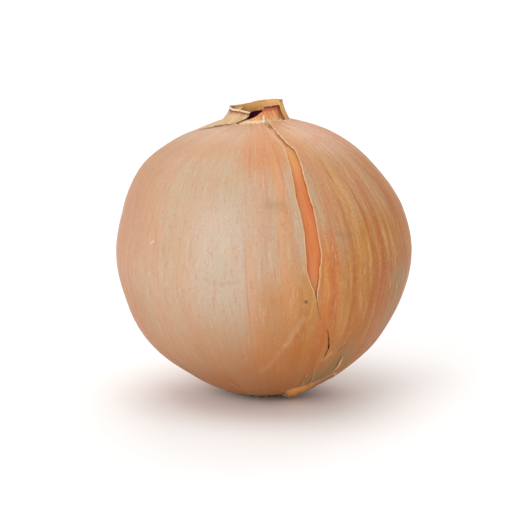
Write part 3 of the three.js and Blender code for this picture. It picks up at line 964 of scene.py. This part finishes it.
# Outermost sheath: it lies over the left shoulder, and its slanting front edge ends in a rolled pale lip
leftSheath = {
    "columns": 170, "rows": 80, "thickness": 0.16, "lift": -0.1,
    "shoulderPart": 0.5, "neckStart": 0.15, "reach": 0.075, "leastReach": 0.012, "under": 0.008,
    "backEdge": -150,
    "frontEdge": [(0, -75), (0.5, -44), (0.58, -36), (0.7, -24), (0.8, -19), (1, -16)],   # row, azimuth
    "rim": [(-150, 0.3), (-90, 0.8), (-45, 0.0), (-16, -1.15)],                            # azimuth, height
    "flare": 1.5, "flareFrom": -40, "flareTo": -85,
    "lip": 0.34, "lipAt": 0.955, "lipHalf": 0.05, "creases": 0.16, "ragged": 0.16, "seed": 2.0,
}


def makeLeftSheath():
    s = leftSheath
    sheet = flatSheet("neckLeft", s["columns"], s["rows"])

    def shape(u, v):
        degrees = mix(s["backEdge"], readTable(s["frontEdge"], v), u)
        azimuth = np.radians(degrees)
        rise = np.clip(mix(s["neckStart"], 1, (v - s["shoulderPart"]) / (1 - s["shoulderPart"])), 0, 1)
        rim = readTable(s["rim"], degrees) + rimTear(azimuth, s["ragged"], s["seed"])
        flare = s["flare"] * (1 - rise) ** 1.4 * softStep(s["flareFrom"], s["flareTo"], degrees)
        roll = s["lip"] * bump(v, s["lipAt"], s["lipHalf"]) * (0.7 + 0.45 * np.sin(13 * azimuth + 1.0))
        neck = neckPoint(azimuth, rise, -0.1 - flare - roll, rim)
        neck = crumple(neck, s["creases"], softStep(0.2, 1.0, rise), s["seed"])
        reach = s["reach"] * np.sin(math.pi * np.clip(u * 0.9 + 0.06, 0, 1)) + wander(azimuth, 0.005, 1.4)
        hem = neckHem(azimuth) - s["under"]
        along = mix(hem - np.maximum(reach, s["leastReach"]), hem, np.clip(v / s["shoulderPart"], 0, 1))
        flat = skinPoint(azimuth, along, 0)
        lift = skinRelief(azimuth, along, flat) + s["lift"]
        lift += 0.12 * softStep(0, 0.14, v) + 0.2 * softStep(0.1, 0.5, v)
        shoulder = skinPoint(azimuth, along, lift + s["thickness"])
        join = softStep(s["shoulderPart"] - 0.06, s["shoulderPart"] + 0.1, v)[:, None]
        return mix(shoulder, neck, join)

    finishLayer(sheet, shape, sheathPale, sheathPale, s["thickness"], "neck_sheath_left")


# Scraps of thin membrane and loose fibres that lie on the skin, each a narrow strip
scraps = {
    "thickness": 0.1,
    "fibres": [      # from and to (azimuth, share of the outline), width in mm
        ((30.7, 0.108), (25.1, 0.227), 0.2), ((23.2, 0.165), (22.3, 0.195), 0.2),
        ((24.5, 0.117), (23.6, 0.147), 0.2), ((-24.5, 0.12), (-27, 0.15), 0.2),
        ((203, 0.12), (206, 0.19), 0.2), ((131, 0.13), (127, 0.21), 0.22),
    ],
    "sliver": ((42.9, 0.166), (40.6, 0.243), 0.75),
    "membrane": {"from": (5, 13), "to": (11.5, 13), "rise": (0.06, 0.5)},
}


def makeStrip(name, start, end, width):
    # pointed at both ends and lifted a little off the skin along its length
    sheet = flatSheet(name, 4, 30)

    def shape(u, v):
        azimuth = np.radians(mix(start[0], end[0], v) + 0.25 * np.sin(6 * v))
        along = mix(start[1], end[1], v)
        radius, _ = outlineAt(along, 0)
        across = width * np.sin(math.pi * np.clip(v, 0.06, 0.94)) ** 0.7 * (u - 0.5)
        flat = skinPoint(azimuth, along, 0)
        lift = skinRelief(azimuth, along, flat) + 0.12 + 0.12 * np.sin(math.pi * v) + 0.3 * u * across
        return skinPoint(azimuth + across / radius, along, lift)

    wrapSheet(sheet, shape)
    return sheet


def makeScraps():
    s = scraps
    fibres = joinPieces([makeStrip("fibre", *fibre) for fibre in s["fibres"]], "looseFibres")
    sliver = makeStrip("skinSliver", *s["sliver"])
    m = s["membrane"]
    bit = flatSheet("membraneScrap", 10, 20)

    def shape(u, v):
        azimuth = np.radians(mix(mix(m["from"][0], m["to"][0], v), mix(m["from"][1], m["to"][1], v), u))
        rise = mix(*m["rise"], v)
        return neckPoint(azimuth, rise, 0.05 - 0.25 * np.sin(math.pi * u) * (1 - v) - 0.2 * v, 0)

    wrapSheet(bit, shape)
    for piece, slot in ((fibres, "outer_skin"), (sliver, "outer_skin"), (bit, "neck_sheath_right")):
        coat(piece, paleMembrane)
        solidify(piece, s["thickness"], offset=0)
        finishPiece(piece)


# Torn flap at the base, tucked under the skin's hem
baseFlap = {
    "columns": 150, "rows": 50, "thickness": 0.3, "low": 0.014, "tuck": 0.02,
    "flare": 1.2, "flareAt": 30, "flareHalf": 12, "narrowing": 0.035, "under": -0.5,
}


def makeBaseFlap():
    f = baseFlap
    sheet = flatSheet("baseFlap", f["columns"], f["rows"])

    def shape(u, v):
        degrees = mix(hemForm["flapFrom"], hemForm["flapTo"], u)
        azimuth = np.radians(degrees)
        low = f["low"] + wander(3 * azimuth, 0.003, 0.9) + f["narrowing"] * softStep(32, 56, degrees)
        along = mix(low, baseHem(azimuth) + f["tuck"], v)
        flat = skinPoint(azimuth, along, 0)
        flare = f["flare"] * (1 - v) ** 0.8 * bump(degrees, f["flareAt"], f["flareHalf"])
        creases = 0.2 * roughen(flat, 2.2, 6) + 0.12 * np.sin(60 * azimuth) * (1 - v)
        under = f["under"] * softStep(0.7, 1.0, v)       # the top edge slips under the skin's hem
        return skinPoint(azimuth, along, under + flare + creases * (1 - v) ** 0.5)

    finishLayer(sheet, shape, flapPaper, flapPaper, f["thickness"], "base_flap")


# Root plate: a corky disc cut flat below, ringed with short dry roots
rootPlate = {
    "discRadius": 6.1, "rootRing": 5.4, "top": -33.7, "vertices": 72,
    "roots": 74, "rootLength": 2.4, "rootRadius": 0.34, "taper": 0.55, "seed": 7,
}


def makeRootPlate():
    r = rootPlate
    lift = bulbForm["centreHeight"] + r["top"]
    plate = startPiece("rootPlate", bpy.ops.mesh.primitive_cylinder_add, vertices=r["vertices"],
                       radius=r["discRadius"] * mm, depth=lift * mm, location=(0, 0, lift * mm / 2))
    bpy.ops.object.transform_apply()
    bpy.ops.object.mode_set(mode="EDIT")
    bpy.ops.mesh.select_all(action="SELECT")
    bpy.ops.mesh.bevel(offset=0.35 * mm, segments=3, affect="EDGES")
    bpy.ops.mesh.select_all(action="SELECT")
    bpy.ops.mesh.subdivide(number_cuts=2)
    bpy.ops.object.mode_set(mode="OBJECT")
    points = readPoints(plate)
    x, y, z = points.T
    rough = roughen(points / mm, 1.2, 4) * mm * 0.3
    inside = np.clip(z / (0.4 * mm), 0, 1)              # the cut face below stays flat
    scale = 1 + inside * rough / np.maximum(np.hypot(x, y), mm)
    writePoints(plate, np.stack([x * scale, y * scale, z], -1))
    coat(plate, corkPlate)
    finishPiece(plate, "root_plate")


def makeRoots():
    r = rootPlate
    draw = np.random.default_rng(r["seed"])
    first = startPiece("root", bpy.ops.mesh.primitive_cone_add, vertices=7, radius1=r["rootRadius"] * mm,
                       radius2=r["rootRadius"] * r["taper"] * mm, depth=r["rootLength"] * mm,
                       location=(0, 0, r["rootLength"] * mm / 2))
    bpy.ops.object.transform_apply()
    bpy.ops.object.mode_set(mode="EDIT")
    bpy.ops.mesh.select_all(action="SELECT")
    bpy.ops.mesh.bevel(offset=0.08 * mm, segments=1, affect="EDGES")
    bpy.ops.mesh.subdivide(number_cuts=1)
    bpy.ops.object.mode_set(mode="OBJECT")
    made = []
    for k in range(r["roots"]):
        root = first.copy()
        root.data = first.data.copy()
        bpy.context.collection.objects.link(root)
        azimuth = 2 * math.pi * (k + draw.uniform(-0.3, 0.3)) / r["roots"]
        down = draw.uniform(0.12, 0.5)
        size = draw.uniform(0.7, 1.15)
        side, front = math.sin(azimuth), -math.cos(azimuth)
        away = Vector((side * math.cos(down), front * math.cos(down), -math.sin(down)))
        ring = r["rootRing"]
        root.location = toFrame(np.array([[ring * side, ring * front, draw.uniform(-34.6, -34.0)]]))[0]
        root.rotation_euler = away.to_track_quat("Z", "Y").to_euler()
        root.scale = (size, size, size * draw.uniform(0.8, 1.2))
        made.append(root)
    clearSelection()
    first.select_set(True)
    bpy.ops.object.delete()
    roots = joinPieces(made, "dryRoots")
    bpy.ops.object.transform_apply()
    points = readPoints(roots)
    points[:, 2] = np.maximum(points[:, 2], 0.15 * mm)  # none reaches the floor before the plate
    writePoints(roots, points)
    coat(roots, dryRoot)
    finishPiece(roots)


makeOuterSkin()
print("outer skin wrapped")
makeBulb()
print("bulb shaped")
makeRightSheath()
makeBackSheath()
makeLeftSheath()
print("neck sheaths standing")
makeBaseFlap()
makeScraps()
makeRootPlate()
makeRoots()
print("base finished")

# Floor, light and camera
studio = {
    "floor": (0.93, 0.93, 0.925, 1), "floorSize": 9.0,
    "world": 0.72,
    "lights": [   # name, place in m, size in m, power in W
        ("keyLight", (-0.8, -1.02, 0.56), 0.8, 7.3),
        ("topLight", (-0.2, -0.1, 1.5), 1.2, 6.0),
        ("backLight", (0.2, 1.3, 1.0), 1.2, 8.0),
    ],
}

photoView = {
    "elevation": math.radians(11), "distance": 0.7,
    "frame": 512, "mmPerPixel": 0.26,
    "bulbPixel": (264, 258),          # where the widest ring's centre lies in the photo
}


def makeFloor():
    floor = startPiece("floor", bpy.ops.mesh.primitive_plane_add, size=studio["floorSize"])
    material, _ = newMaterial("paleFloor", 0.7, 0.2)
    shaderInputs()["Base Color"].default_value = studio["floor"]
    coat(floor, material)


def makeLights():
    world = bpy.data.worlds.new("softStudio")
    world.use_nodes = True
    world.node_tree.nodes["Background"].inputs["Color"].default_value = (1, 1, 1, 1)
    world.node_tree.nodes["Background"].inputs["Strength"].default_value = studio["world"]
    bpy.context.scene.world = world
    aim = Vector((0, 0, bulbForm["centreHeight"] * mm))
    for name, spot, size, power in studio["lights"]:
        light = startPiece(name, bpy.ops.object.light_add, type="AREA", location=spot)
        light.data.size = size
        light.data.energy = power
        light.rotation_euler = (aim - Vector(spot)).to_track_quat("-Z", "Y").to_euler()


def makeCamera():
    p = photoView
    lean, lifted = bulbForm["lean"], bulbForm["centreHeight"]
    looking = Vector((0, math.cos(p["elevation"]), -math.sin(p["elevation"])))
    upward = Vector((0, math.sin(p["elevation"]), math.cos(p["elevation"])))
    centre = Vector((-lifted * math.tan(lean), 0, lifted)) * mm
    across = (p["frame"] / 2 - p["bulbPixel"][0]) * p["mmPerPixel"] * mm
    above = (p["bulbPixel"][1] - p["frame"] / 2) * p["mmPerPixel"] * mm
    aim = centre + Vector((across, 0, 0)) + upward * above
    camera = startPiece("photoCamera", bpy.ops.object.camera_add)
    camera.data.sensor_width = 36
    camera.data.lens = p["distance"] / (p["mmPerPixel"] * mm) * camera.data.sensor_width / p["frame"]
    camera.location = aim - looking * p["distance"]
    camera.rotation_euler = looking.to_track_quat("-Z", "Y").to_euler()
    bpy.context.scene.camera = camera
    bpy.context.scene.view_settings.view_transform = "Standard"


makeFloor()
makeLights()
makeCamera()
print("stage set")
